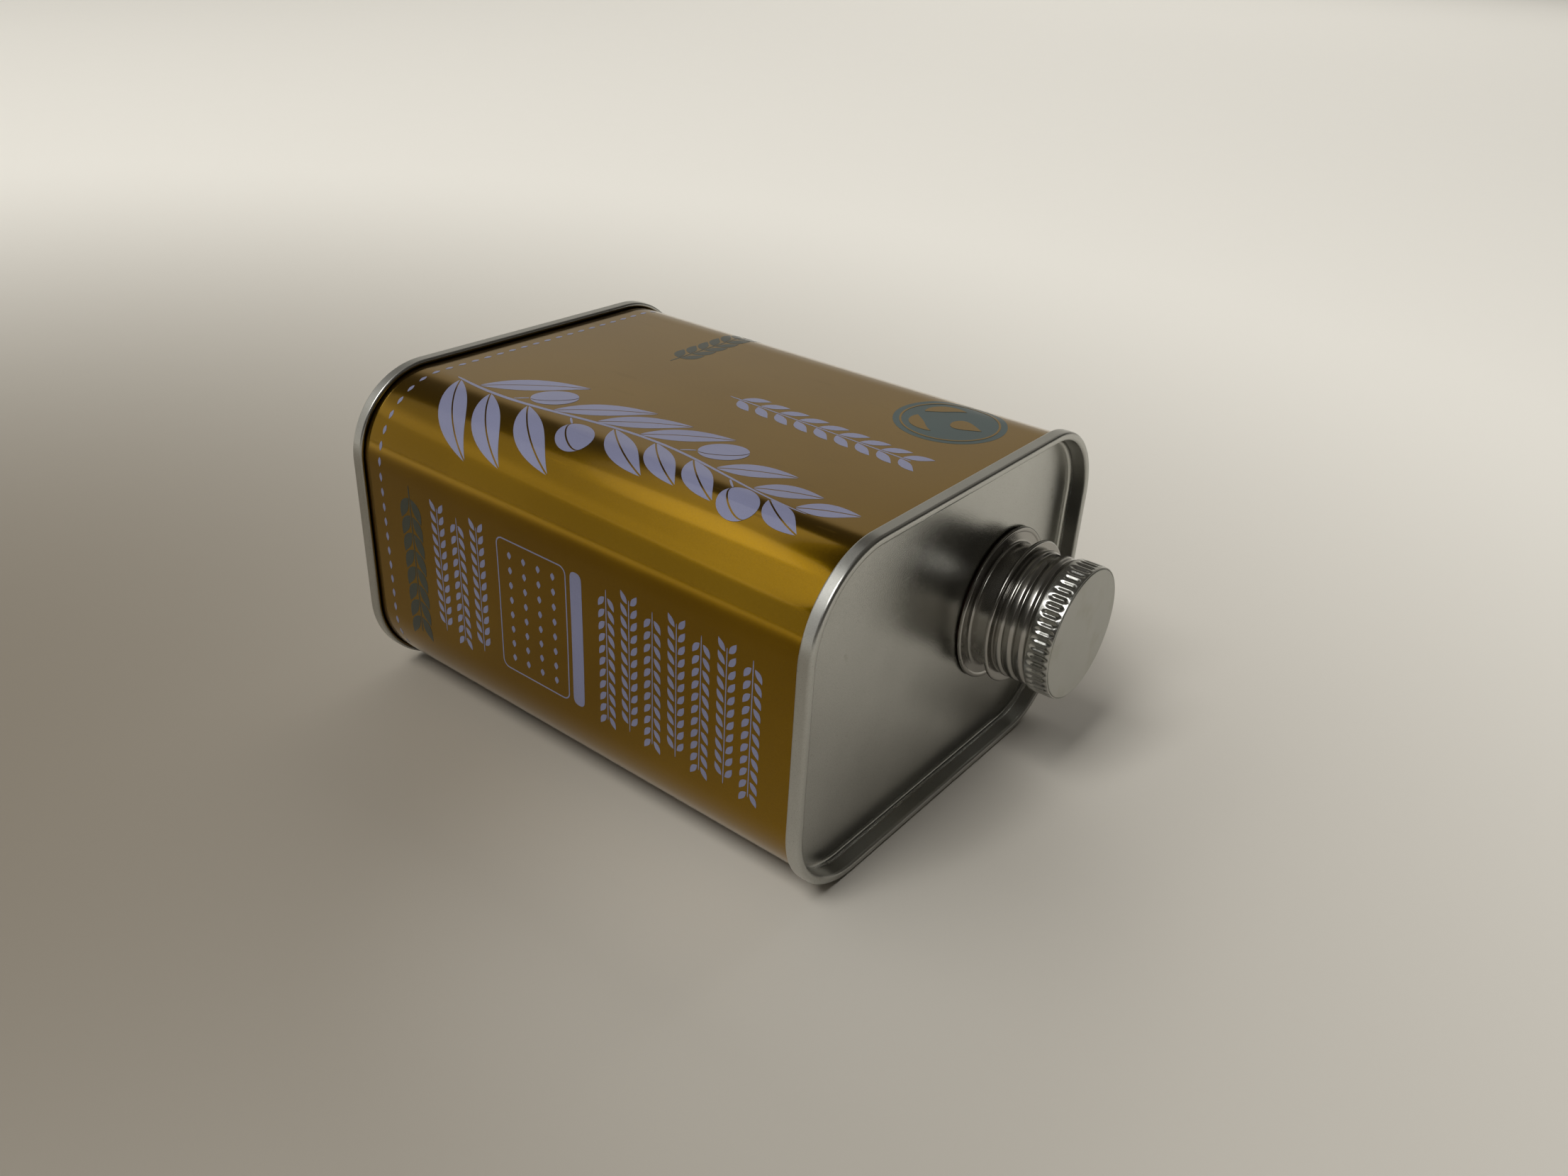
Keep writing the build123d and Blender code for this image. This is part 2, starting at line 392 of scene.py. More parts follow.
weld_tin, place = new_finish("weld_tinplate")
burnt = place.noise(1600, 3, stretch=(1, 0.3, 0.3)).between(0.35, 0.75)
colour = burnt.mixed(paint(170, 167, 160), paint(112, 106, 98))
bump = place.make("Bump", None, {"Strength": 0.6, "Distance": 0.00002, "Height": burnt})
close_finish(place, {
    "Base Color": colour, "Metallic": 1.0, "Roughness": 0.3 + 0.25 * burnt, "Normal": bump,
})
dress(side_weld, weld_tin)
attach(side_weld, "tin")


# Print over the gold: a few hundredths of a millimetre of ink under the same varnish. Both broad
# faces carry an olive branch, a sprig and a medallion; the near narrow side carries an ornament
# of rules, seeds and sprigs. Heights are above the foot, s is walked round the tin.
ink = 0.00002


def arcs(height, s, heading, length, bend, steps):
    """Middle lines of leaves and stalks, one for each value. Each is an arc of a circle that
    leaves its root at its heading, from +X towards growing s, and turns by bend in all. Its
    points lie closer together towards both ends, as a cosine."""
    share = (1 - np.cos(np.linspace(0, np.pi, steps))) / 2
    values = np.broadcast_arrays(height, s, heading, length, bend)
    height, s, start, length, turn = (value[:, None] for value in values)
    up = height + length * (np.sin(start + turn * share) - np.sin(start)) / turn
    along = s + length * (np.cos(start) - np.cos(start + turn * share)) / turn
    return np.stack([up, along], axis=-1), share


def lay_ink(name, lines, left, right, columns, under=0.0, close_rows=False):
    """Closed plates of ink on the wall, one for each middle line. Each plate reaches from its
    left to its right offset, square to its line, and follows the wall's face at one height
    over it and, for its underside, one height under it."""
    if close_rows:
        run = np.roll(lines, -1, axis=1) - np.roll(lines, 1, axis=1)
    else:
        run = np.gradient(lines, axis=1)
    run /= np.linalg.norm(run, axis=-1, keepdims=True)
    square = np.stack([-run[..., 1], run[..., 0]], axis=-1)
    share = np.linspace(0, 1, columns)
    share = np.concatenate([share, share[::-1]])
    lift = under + np.repeat([ink, -ink], columns)
    offset = left[..., None] + (right - left)[..., None] * share
    place = lines[:, :, None] + offset[..., None] * square[:, :, None]
    points = wall_point(foot + place[..., 0], place[..., 1], lift)
    plates = make_piece(name, points, close_rows=close_rows, poles=True)
    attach(plates, "tin")
    return plates


def both_faces(*arrays):
    """The same motifs on the upper and on the lower broad face, half way round the tin."""
    lines = arrays[0]
    lines = np.concatenate([lines, lines + np.array([0, girth / 2])])
    return (lines, *(np.concatenate([array, array]) for array in arrays[1:]))


def leaf_halves(lines, share, half_width, gap):
    """Two plates for each leaf, one on each side of a gap for its vein. Their outer edges
    bulge as a sine that is fullest before the middle."""
    bulge = half_width[:, None] * np.sin(np.pi * share ** 0.85)
    inner = gap / 2 + 0 * bulge
    halves = np.concatenate([lines, lines])
    left = np.concatenate([-inner - bulge, inner])
    right = np.concatenate([-inner, inner + bulge])
    return halves, left, right


# Lilac branch, with leaves on both sides that get shorter up the stem, and olives among them. A
# nearly straight arc turns by the least bend, because an arc can't turn by nothing.
branch_low, branch_high = 0.012, 0.096
branch_s = 0.0262
stem_half, stem_sway = 0.0004, 0.0022
nodes_up = 18
olive_nodes = (3, 6, 11, 14)
leaf_root = 0.0008
leaf_length, leaf_half, leaf_bend = 0.0225, 0.0027, 0.38
vein = 0.0003
stalk_length, stalk_half, stalk_bend = 0.0028, 0.0002, 0.1
olive_length, olive_half, olive_lap = 0.0088, 0.0033, 0.0002
shine, shine_gap = 0.45, 0.0003
least_bend = 0.01


def stem(share):
    """The branch's stem: a slow double wave up the tin."""
    height = branch_low + (branch_high - branch_low) * share
    return height, branch_s + stem_sway * np.sin(2 * np.pi * (1.15 * share + 0.1))


stem_share = np.linspace(0, 1, 150)
stem_line = np.stack(stem(stem_share), axis=-1)[None]
stem_width = (stem_half * (1.25 - 0.7 * stem_share) * np.sin(np.pi * stem_share) ** 0.25)[None]
lay_ink("lilac_stems", *both_faces(stem_line, -stem_width, stem_width), 3)
node = np.arange(nodes_up)
side = 1 - 2 * (node % 2)
at = (node + 0.3) / nodes_up
with_olive = np.isin(node, olive_nodes)
height, s = stem(at)
slope = np.arctan2(stem(at + 0.01)[1] - s, stem(at + 0.01)[0] - height)
heading = 0.35 * slope + side * (0.92 - 0.25 * at + 0.04 * np.sin(7 * node))
height, s = height + leaf_root * np.cos(heading), s + leaf_root * np.sin(heading)
length = leaf_length * (1 - 0.56 * at) * (1 + 0.05 * np.sin(5 * node))
pick = ~with_olive
lines, share = arcs(height[pick], s[pick], heading[pick], length[pick], -leaf_bend * side[pick], 26)
halves = leaf_halves(lines, share, leaf_half * (1 - 0.2 * at[pick]), vein)
lay_ink("lilac_leaves", *both_faces(*halves), 6)

height, s, heading = height[with_olive], s[with_olive], heading[with_olive]
bend = -stalk_bend * side[with_olive]
lines, share = arcs(height, s, heading, stalk_length, bend, 12)
width = stalk_half * np.sin(np.pi * share) ** 0.25 + 0 * lines[..., 0]
lay_ink("lilac_stalks", *both_faces(lines, -width, width), 3)
heading = heading + bend
height = lines[:, -1, 0] + olive_lap * np.cos(heading)
s = lines[:, -1, 1] + olive_lap * np.sin(heading)
lines, share = arcs(height, s, heading, olive_length, 2 * least_bend, 28)
bulge = olive_half * np.sqrt(np.clip(1 - (2 * share - 1) ** 2, 0, 1)) + 0 * lines[..., 0]
body = both_faces(lines, -bulge, shine * bulge)
gloss = both_faces(lines, shine * bulge + shine_gap, bulge + shine_gap)
lay_ink("lilac_olives", *(np.concatenate(pair) for pair in zip(body, gloss)), 7, under=ink)


def plain_leaves(lines, share, half_width):
    """One plate for each small leaf, as wide on both sides as half_width times a sine."""
    bulge = half_width * np.sin(np.pi * share ** 0.9) + 0 * lines[..., 0]
    return lines, -bulge, bulge


garland_gap = 0.0005


def garland(first, last, count, length, spread, bend=-0.4):
    """Leaves in a row of so many pairs, from one point (height, s) to another. Each pair opens
    by spread on both sides of the row's own direction."""
    first, last = np.array(first), np.array(last)
    heading = np.arctan2(*(last - first)[::-1])
    share = np.repeat((np.arange(count) + 0.5) / count, 2)
    side = np.tile([1, -1], count)
    root = first + share[:, None] * (last - first)
    ahead = heading + side * spread
    height = root[:, 0] + garland_gap * np.cos(ahead)
    s = root[:, 1] + garland_gap * np.sin(ahead)
    return arcs(height, s, ahead, length, side * bend, 12)


def thin_line(first, last, half_width, points):
    """A straight line of ink with rounded tips."""
    share = (1 - np.cos(np.linspace(0, np.pi, points)))[None, :, None] / 2
    line = np.array(first) + share * (np.array(last) - np.array(first))
    width = half_width * np.sqrt(1 - np.abs(2 * share[..., 0] - 1) ** 30)
    return line, -width, width


# The small lilac sprig beside the branch, in the gap between branch and medallion.
sprig_low, sprig_high = (0.0545, -0.002), (0.096, -0.0005)
sprig_leaf_length, sprig_leaf_half = 0.0056, 0.00105
thin_stem_half = 0.00016
lines, share = garland(sprig_low, sprig_high, 9, sprig_leaf_length, 0.75)
lay_ink("lilac_sprig", *both_faces(*plain_leaves(lines, share, sprig_leaf_half)), 4)
line = thin_line(sprig_low, sprig_high, thin_stem_half, 60)
lay_ink("lilac_sprig_stem", *both_faces(*line), 3)

# The medallion: a teal disc, and on it a gold ring, a drop of oil and two leaves.
disc_height, disc_s, disc_radius = 0.091, -0.021, 0.0105
ring_radius, ring_half = 0.0091, 0.0002
drop_rise, drop_length, drop_half = 0.0005, 0.0062, 0.0022
spray_drop, spray_apart = 0.0062, 0.0012
spray_length, spray_half = 0.0085, 0.0014
spray_heading, spray_bend = 1.35, 1.3
share = (1 - np.cos(np.linspace(0, np.pi, 60)))[None] / 2
line = np.stack([disc_height + disc_radius * (2 * share - 1), disc_s + 0 * share], axis=-1)
width = disc_radius * np.sqrt(np.clip(1 - (2 * share - 1) ** 2, 0, 1))
medallions = lay_ink("teal_medallions", *both_faces(line, -width, width), 22)
turn = np.linspace(0, 2 * np.pi, 96, endpoint=False)
ring = [disc_height + ring_radius * np.cos(turn), disc_s + ring_radius * np.sin(turn)]
ring = np.stack(ring, axis=-1)[None]
width = np.full(ring.shape[:2], ring_half)
medallion_rings = lay_ink(
    "gold_rings", *both_faces(ring, -width, width), 3, under=2 * ink, close_rows=True)
lines, share = arcs(
    disc_height + np.array([drop_rise, -spray_drop, -spray_drop]),
    disc_s + np.array([0, spray_apart, -spray_apart]),
    np.array([0, spray_heading, -spray_heading]),
    np.array([drop_length, spray_length, spray_length]),
    np.array([least_bend, -spray_bend, spray_bend]),
    26,
)
full = np.array([drop_half, spray_half, spray_half])[:, None]
bulge = full * np.sin(np.pi * share ** np.array([0.55, 0.85, 0.85])[:, None])
drop_and_leaves = lay_ink("gold_drops", *both_faces(lines, -bulge, bulge), 5, under=2 * ink)

# The green garland near the foot of each broad face, and the one on the near narrow side.
green_half = 0.0011
height = 0.033
lines, share = garland((height, -0.009), (height, -0.034), 7, 0.0052, 0.7)
face_garland = both_faces(*plain_leaves(lines, share, green_half))
line = both_faces(*thin_line((height, -0.0085), (height, -0.0375), thin_stem_half, 60))
height = 0.0155
lines, share = garland((height, near_side - 0.0145), (height, near_side + 0.0145), 8, 0.0054, 0.7)
side_garland = plain_leaves(lines, share, green_half)
other = thin_line((height, near_side - 0.015), (height, near_side + 0.0165), thin_stem_half, 60)
green_leaves = lay_ink(
    "green_leaves", *(np.concatenate(pair) for pair in zip(face_garland, side_garland)), 4)
green_stems = lay_ink("green_stems", *(np.concatenate(pair) for pair in zip(line, other)), 3)

# A border of lilac seeds round the foot of the tin, left out over the bare strip.
seed_count, border_height = 84, 0.0072
seed_length, seed_half = 0.0019, 0.00042
seed_s = far_side + np.linspace(0.0052, girth - 0.0071, seed_count)
lines, share = arcs(border_height, seed_s, np.pi / 2, seed_length, least_bend, 10)
lay_ink("lilac_border", *plain_leaves(lines, share, seed_half), 3)

# The ornament of the near narrow side: a solid bar, a ruled frame full of seeds below it, and
# level garlands that point to and fro.
side_half, row_half = 0.0134, 0.013
bar_height, bar_half = 0.06, 0.0014
frame_low, frame_high, frame_corner, frame_half = 0.04, 0.0575, 0.0015, 0.00013
garland_leaf_length, garland_leaf_half, garland_stem_half = 0.0026, 0.00055, 0.0001
frame_seed_length, frame_seed_half = 0.0015, 0.0005
bar_ends = (bar_height, near_side - side_half), (bar_height, near_side + side_half)
lay_ink("lilac_bar", *thin_line(*bar_ends, bar_half, 90), 6)
corners = [(height, near_side + across) for height, across in (
    (frame_low, -side_half),
    (frame_high, -side_half),
    (frame_high, side_half),
    (frame_low, side_half),
)]
line = bent(corners, [frame_corner] * 4, 0.0008, closed=True)[None]
width = np.full(line.shape[:2], frame_half)
lay_ink("lilac_frame", line, -width, width, 3, close_rows=True)
rows = [*np.linspace(0.0672, 0.0988, 7), *np.linspace(0.0235, 0.0345, 3)]
ends = [row_half * (1 - 2 * (number % 2)) for number in range(len(rows))]
leaves, stems = [], []
for height, end in zip(rows, ends):
    row_ends = (height, near_side - end), (height, near_side + end)
    lines, share = garland(*row_ends, 11, garland_leaf_length, 0.8)
    leaves.append(plain_leaves(lines, share, garland_leaf_half))
    stems.append(thin_line(*row_ends, garland_stem_half, 40))
lay_ink("lilac_garlands", *(np.concatenate(part) for part in zip(*leaves)), 3)
lay_ink("lilac_garland_stems", *(np.concatenate(part) for part in zip(*stems)), 3)
height, s = np.meshgrid(np.linspace(0.0432, 0.0543, 4), near_side + np.linspace(-0.0112, 0.0098, 8))
lines, share = arcs(height.ravel(), s.ravel(), np.pi / 2, frame_seed_length, least_bend, 9)
lay_ink("lilac_frame_seeds", *plain_leaves(lines, share, frame_seed_half), 3)


def ink_finish(name, dark, light):
    """An opaque, slightly cloudy ink between two near colours, under the varnish."""
    material, place, flake, cloud, wear, bump = varnished(name)
    close_finish(place, {
        "Base Color": (cloud * 0.6 + flake * 0.4).between(0.3, 0.7).mixed(dark, light),
        "Roughness": 0.42 + 0.08 * flake + wear,
        "Coat Weight": 0.7,
        "Coat Roughness": 0.05,
        "Coat IOR": 1.4,
        "Normal": bump,
    })
    return material


lilac_ink = ink_finish("lilac_ink", paint(102, 104, 130), paint(112, 115, 143))
teal_ink = ink_finish("teal_ink", paint(18, 44, 46), paint(26, 54, 56))
green_ink = ink_finish("green_ink", paint(16, 24, 12), paint(24, 33, 19))
for plates in [piece for piece in bpy.data.objects if piece.name.startswith("lilac_")]:
    dress(plates, lilac_ink)
dress(medallions, teal_ink)
for plates in (green_leaves, green_stems):
    dress(plates, green_ink)
for plates in (medallion_rings, drop_and_leaves):
    dress(plates, gold_print)


# Ends of the tin: two pressed panels of heavier, satin tinplate. The rim of each is curled over
# the wall's flange and rolled flat into the double seam, and only the top one is pierced.
countersink = 0.0035
chuck_draft = 0.00025
panel_lap = 0.0012
hook_end = 0.00057
crest_bend, countersink_bend = 0.00047, 0.00103
rim_spacing = 0.0004
panel_rings = 26
panel_unevenness = 0.00004
neck_low, neck_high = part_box("neck")
neck_y = (neck_low.y + neck_high.y) / 2
neck_z = (neck_low.z + neck_high.z) / 2
hole_radius = 0.01232


def end_rim():
    """Both faces of the rim's strip, from the hook in the seam over the crest and down to the
    panel, as height under the crest and lift from the wall's outer face."""
    hook = wall_inset - plate / 2 - 2 * layer
    outer = wall_inset - plate / 2
    chuck = wall_inset - plate / 2 - 4 * layer
    line = [
        (-2 * plate - hook_end, hook),
        (-seam_height + plate / 2, hook),
        (-seam_height + plate / 2, outer),
        (-plate / 2, outer),
        (-plate / 2, chuck),
        (-countersink - plate / 2, chuck - chuck_draft),
        (-countersink - plate / 2, chuck - chuck_draft - panel_lap),
    ]
    return sheet(line, [fold, fold, crest_bend, crest_bend, countersink_bend], plate, rim_spacing)


def panel_share(rings):
    """How far in each ring of the panel lies: even steps less a small share of a sine, which
    brings the rings closer together towards the rim and the hole."""
    even = np.linspace(0, 1, rings + 1)[1:]
    return even - 0.08 * np.sin(2 * np.pi * even) / (2 * np.pi)


def make_end(name, level, direction, hole):
    """The rim's strip carried round the tin, and a panel whose rings blend straight from the
    rim's outline to the edge of the hole, or to the middle where there is no hole. The panel
    is a little uneven, as a sum of slow sines that fade out at its edges."""
    one, two = end_rim()
    front, back = (one, two) if one[-1, 0] > two[-1, 0] else (two, one)
    share = panel_share(panel_rings)
    inner_y, inner_z = (neck_y, neck_z) if hole else (0.0, middle_z)
    s = wall_steps[None, :]
    rings = []
    for face in (front, back):
        rim = tin_point(level + direction * face[:, 0][:, None], s, face[:, 1][:, None])
        edge = rim[-1]
        away = edge[:, 1:] - np.array([inner_y, inner_z])
        away /= np.linalg.norm(away, axis=1, keepdims=True)
        centre = np.concatenate([edge[:, :1], np.array([inner_y, inner_z]) + hole * away], axis=1)
        part = share[:, None, None]
        panel = edge * (1 - part) + centre * part
        wave = np.sin(95 * panel[..., 1] + 1) * np.sin(120 * panel[..., 2])
        panel[..., 0] += direction * panel_unevenness * wave * np.sin(np.pi * part[..., 0])
        rings.append(np.concatenate([rim, panel]))
    grid = np.concatenate([rings[0][::-1], rings[1]])
    return make_piece(name, grid, close_rows=hole > 0, poles=True)


end_tin, place = new_finish("satin_tinplate")
mottle = place.noise(5200, 3, roughness=0.6)
speck = place.noise(5200, 1).between(0.68, 0.74)
cloud = place.noise(55, 2)
scratch = place.noise(420, 2, stretch=(1, 0.06, 1)).between(0.7, 0.72)
stain = place.noise(260, 3).between(0.7, 0.78)
tone = (mottle * 0.6 + cloud * 0.4).between(0.25, 0.75)
colour = tone.mixed(paint(171, 171, 166), paint(193, 193, 188))
colour = (stain * 0.5).mixed(colour, paint(140, 134, 120))
colour = (speck * 0.6).mixed(colour, paint(112, 108, 100))
from_middle = abs(place.axis(0) - (crest + foot) / 2)
rolled = from_middle.between((crest - foot) / 2 - 0.003, (crest - foot) / 2 - seam_height)
rough = 0.14 + 0.08 * mottle + 0.05 * scratch + 0.12 * rolled
height = (mottle - 0.3 * speck) * (1 - 0.8 * rolled)
bump = place.make("Bump", None, {"Strength": 1.0, "Distance": 0.00002, "Height": height})
close_finish(place, {"Base Color": colour, "Metallic": 1.0, "Roughness": rough, "Normal": bump})

for name, level, direction, hole, node in (
    ("top_end_sheet", crest, 1, hole_radius, "top_end"),
    ("bottom_end_sheet", foot, -1, 0.0, "bottom_end"),
):
    end_sheet = make_end(name, level, direction, hole)
    dress(end_sheet, end_tin)
    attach(end_sheet, "tin")
    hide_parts(node)


# Sealing compound: a grey rubber lining run into each end's rim before it is rolled on. It stays
# out of sight inside the two double seams.
compound, place = new_finish("seam_compound")
tone = place.noise(1800, 2)
colour = tone.mixed(paint(92, 94, 92), paint(124, 126, 122))
close_finish(place, {"Base Color": colour, "Roughness": 0.6 + 0.2 * tone})
for node in ("top_seam_compound", "bottom_seam_compound"):
    dress(frame["nodes"][node], compound)


# Neck: spun from one piece of bright tinplate and clinched through the panel's hole. From the
# panel outwards it has a folded flange, a plain wall, a stacking bead, a ridge and the thread.
panel_face = crest - countersink
neck_wall = 0.01187
clinch, foot_wall = 0.01372, 0.01213
clinch_level, foot_level = -0.00043, 0.00038
flange, flange_level, flange_fold = 0.01487, 0.00068, 0.00086
bead, bead_low, bead_high = 0.01377, 0.005, 0.00564
ridge = 0.01227
lip, lip_width, lip_drop = 0.01512, 0.001, 0.0009
neck_points = [
    (clinch, clinch_level),
    (foot_wall, clinch_level),
    (foot_wall, foot_level),
    (flange, foot_level),
    (flange, flange_fold),
    (flange - 0.0005, flange_fold),
    (flange - 0.0008, flange_level),
    (neck_wall, flange_level),
    (neck_wall, bead_low),
    (bead, bead_low),
    (bead, bead_high),
    (neck_wall, bead_high),
    (neck_wall, 0.00605),
    (ridge, 0.00652),
    (ridge, 0.00708),
    (neck_wall, 0.00755),
    (neck_wall, lip),
    (neck_wall - lip_width, lip),
    (neck_wall - lip_width, lip - lip_drop),
]
neck_bends = [fold, 0.00018, 0.00018, 0.0002, 0.0002, 0.0002, 0.0008, 0.00035, fold, fold]
neck_bends += [0.0002, 0.0004, 0.0004, 0.0004, 0.0004, 0.00035, 0.00035]
neck_spacing = 0.00014
neck_columns = 160
thread_pitch = 0.0023
thread_start = 0.0062
thread_low, thread_margin = 0.0074, 0.0004
thread_height = 0.00036
thread_flank = 0.3
fade_in, fade_in_turns = 0.24, 0.08
fade_out, fade_out_turns = 3.3, 0.3


def smooth(share):
    """0 below 0, 1 above 1, and three squares less two cubes in between."""
    share = np.clip(share, 0, 1)
    return share * share * (3 - 2 * share)


def thread(level, angle):
    """How far the thread stands out of the neck. Its ridge climbs one pitch with each turn, its
    section is a broad domed crest between narrow grooves, and it fades in after a quarter turn
    and out at the mouth."""
    turns = angle / (2 * np.pi)
    along = (level - thread_start) / thread_pitch - turns
    count = np.floor(along)
    across = np.abs(along - count - 0.5)
    crest_shape = smooth((0.5 - across) / thread_flank) * (1 - across ** 2)
    travelled = count + turns
    fade = smooth((travelled - fade_in) / fade_in_turns)
    fade = fade * smooth((fade_out - travelled) / fade_out_turns)
    return thread_height * crest_shape * fade


def turn_round_neck(radius, level, angle):
    """A profile turned round the neck's axis: radius and level give each ring, angle each
    column, from +Y towards +Z."""
    y = neck_y + radius * np.cos(angle)
    z = neck_z + radius * np.sin(angle)
    return np.stack([panel_face + level + 0 * radius * angle, y, z], axis=-1)


neck_faces = sheet(neck_points, neck_bends, plate, neck_spacing)
neck_loop = np.concatenate([neck_faces[0], neck_faces[1][::-1]])
radius, level = neck_loop[:, 0][:, None], neck_loop[:, 1][:, None]
angle = np.linspace(0, 2 * np.pi, neck_columns, endpoint=False)[None, :]
zone = (level > thread_low) & (level < lip - thread_margin) & (radius > neck_wall - lip_width / 2)
radius = radius + np.where(zone, thread(level, angle), 0)
spun_neck = make_piece("spun_neck", turn_round_neck(radius, level, angle))

neck_tin, place = new_finish("bright_tinplate")
y, z = place.axis(1) - neck_y, place.axis(2) - neck_z
rings = place.make("CombineXYZ", None, {"X": place.axis(0), "Y": (y * y + z * z) ** 0.5})
spun = rings.noise(5000, 2)
cloud = place.noise(180, 3)
smudge = place.noise(90, 2).between(0.45, 0.75)
colour = cloud.mixed(paint(152, 150, 145), paint(172, 170, 165))
rough = 0.19 + 0.05 * spun + 0.08 * smudge
bump = place.make("Bump", None, {"Strength": 0.2, "Distance": 0.000001, "Height": spun})
close_finish(place, {"Base Color": colour, "Metallic": 1.0, "Roughness": rough, "Normal": bump})
dress(spun_neck, neck_tin)
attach(spun_neck, "tin")
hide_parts("neck")


# Gasket: a thin ring of red-brown rubber, die-cut from sheet and squeezed between the flange of
# the neck and the panel.
gasket, place = new_finish("gasket_rubber")
tone = place.noise(2200, 2)
colour = tone.mixed(paint(74, 52, 44), paint(96, 70, 60))
close_finish(place, {"Base Color": colour, "Roughness": 0.65 + 0.15 * tone})
dress(frame["nodes"]["neck_gasket"], gasket)


# Pouring insert: the spout, moulded in milky polyethylene. It is pressed into the mouth of the
# neck and stays out of sight under the cap.
milky, place = new_finish("milky_plastic")
tone = place.noise(400, 3)
grain = place.noise(6000, 1)
colour = tone.mixed(paint(226, 224, 214), paint(238, 237, 230))
bump = place.make("Bump", None, {"Strength": 0.2, "Distance": 0.00001, "Height": grain})
close_finish(place, {
    "Base Color": colour,
    "Roughness": 0.35 + 0.1 * tone,
    "Subsurface Weight": 0.2,
    "Subsurface Radius": (0.001, 0.001, 0.0008),
    "Normal": bump,
})
dress(frame["nodes"]["pour_insert"], milky)


# Sealing disc: white foamed polyethylene, die-cut from sheet. It lies loose in the cap and closes
# the mouth when the cap is screwed down.
foam, place = new_finish("liner_foam")
cells = place.make("TexVoronoi", None, {"Vector": place, "Scale": 4500}, "Distance")
colour = cells.mixed(paint(228, 228, 224), paint(242, 242, 240))
bump = place.make("Bump", None, {"Strength": 0.4, "Distance": 0.00005, "Height": cells})
close_finish(place, {"Base Color": colour, "Roughness": 0.7 + 0.1 * cells, "Normal": bump})
dress(frame["nodes"]["cap_liner"], foam)


# Screw cap: drawn from tinplate. Fifty flutes with rounded ends are pressed into its band, above
# a plain hem, and a fine groove parts them from the flat top, whose sheet is duller and stained.
cap_low, cap_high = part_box("cap_shell")
cap_top, cap_rim = cap_high.x, cap_low.x
knurl = (cap_high.y - cap_low.y) / 2
flute_count = 50
flute_depth = 0.00032
flute_width = 0.0015
flute_ramp = 0.0013
flute_columns = 12
hem, hem_step = 0.0004, 0.00015
hem_inside = knurl - 0.00034
shoulder = knurl - 0.00042
groove_width = 0.0001
groove_level = cap_top - 0.00038
shoulder_level = cap_top - 0.00012
band_slope, band_drop = 0.00014, 0.00085
band_inside_drop, top_inside_drop = 0.0013, 0.0009
coarse, fine = 0.002, 0.00016
cap_points = [
    (0, cap_top),
    (shoulder, cap_top),
    (shoulder, groove_level),
    (shoulder + groove_width, groove_level),
    (shoulder + groove_width, shoulder_level),
    (knurl - band_slope, shoulder_level),
    (knurl, cap_top - band_drop),
    (knurl, cap_rim),
    (hem_inside, cap_rim),
    (hem_inside, cap_rim + hem),
    (shoulder, cap_rim + hem + hem_step),
    (shoulder, cap_top - band_inside_drop),
    (shoulder - plate, cap_top - top_inside_drop),
    (shoulder - plate, cap_top - plate),
    (0, cap_top - plate),
]
cap_bends = [0, 0.0002, 0.00004, 0.00004, 0.00005, 0.00012, 0.002, 0.00012, 0.0001]
cap_bends += [0, 0, 0, 0, 0.00015, 0]
cap_spacing = [coarse] * 4 + [fine] * 3 + [coarse] * 7


def flutes(x, angle):
    """How deep the flutes are pressed. The depth of each falls smoothly from its middle line to
    nothing half its width away, and over a longer ramp towards both ends."""
    pitch = 2 * np.pi / flute_count
    sideways = (np.mod(angle + pitch / 2, pitch) - pitch / 2) * knurl
    low = cap_rim + hem + flute_ramp
    high = shoulder_level - flute_ramp
    endways = np.maximum(np.abs(x - (low + high) / 2) - (high - low) / 2, 0)
    away = np.hypot(sideways / (flute_width / 2), endways / flute_ramp)
    return flute_depth * smooth(1 - away)


cap_line = bent(cap_points, cap_bends, cap_spacing)
radius, x = cap_line[:, 0][:, None], cap_line[:, 1][:, None]
angle = np.linspace(0, 2 * np.pi, flute_count * flute_columns, endpoint=False)[None, :]
outside = (radius > shoulder + groove_width) & (x > cap_rim + hem)
radius = np.where(outside, radius - flutes(x, angle), radius + 0 * angle)
points = turn_round_neck(radius, x - panel_face, angle)
cap_cover = make_piece("cap_cover", points, close_rows=False, poles=True)

cap_tin, place = new_finish("cap_tinplate")
on_top = place.axis(0).between(cap_top - 0.0002, cap_top - 0.0001)
cloud = place.noise(120, 3)
grain = place.noise(4200, 3)
patch = place.noise(150, 3).between(0.5, 0.75)
colour = cloud.mixed(paint(171, 171, 166), paint(189, 189, 184))
colour = (patch * on_top * 0.25).mixed(colour, paint(150, 144, 124))
rough = 0.19 + 0.06 * grain + on_top * (0.2 + 0.1 * cloud)
bump = place.make("Bump", None, {"Strength": 0.4, "Distance": 0.000006, "Height": grain})
close_finish(place, {"Base Color": colour, "Metallic": 1.0, "Roughness": rough, "Normal": bump})
dress(cap_cover, cap_tin)
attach(cap_cover, "cap")
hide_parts("cap_shell")


# Table top: plain, pale and matt, and wide enough that its far edge stays out of the picture. Its
# paint is darker round a spot left of the tin, as a painted shadow, and lighter right before it, as
# painted light over the tin's shade there. It isn't part of the object.
reach = 9
painted_shadow_paint, pale_paint = paint(123, 115, 102), paint(235, 232, 224)


def away_from(place, x, y):
    """How far each point of the table lies from a spot on it."""
    return ((place.axis(0) - x) ** 2 + (place.axis(1) - y) ** 2) ** 0.5


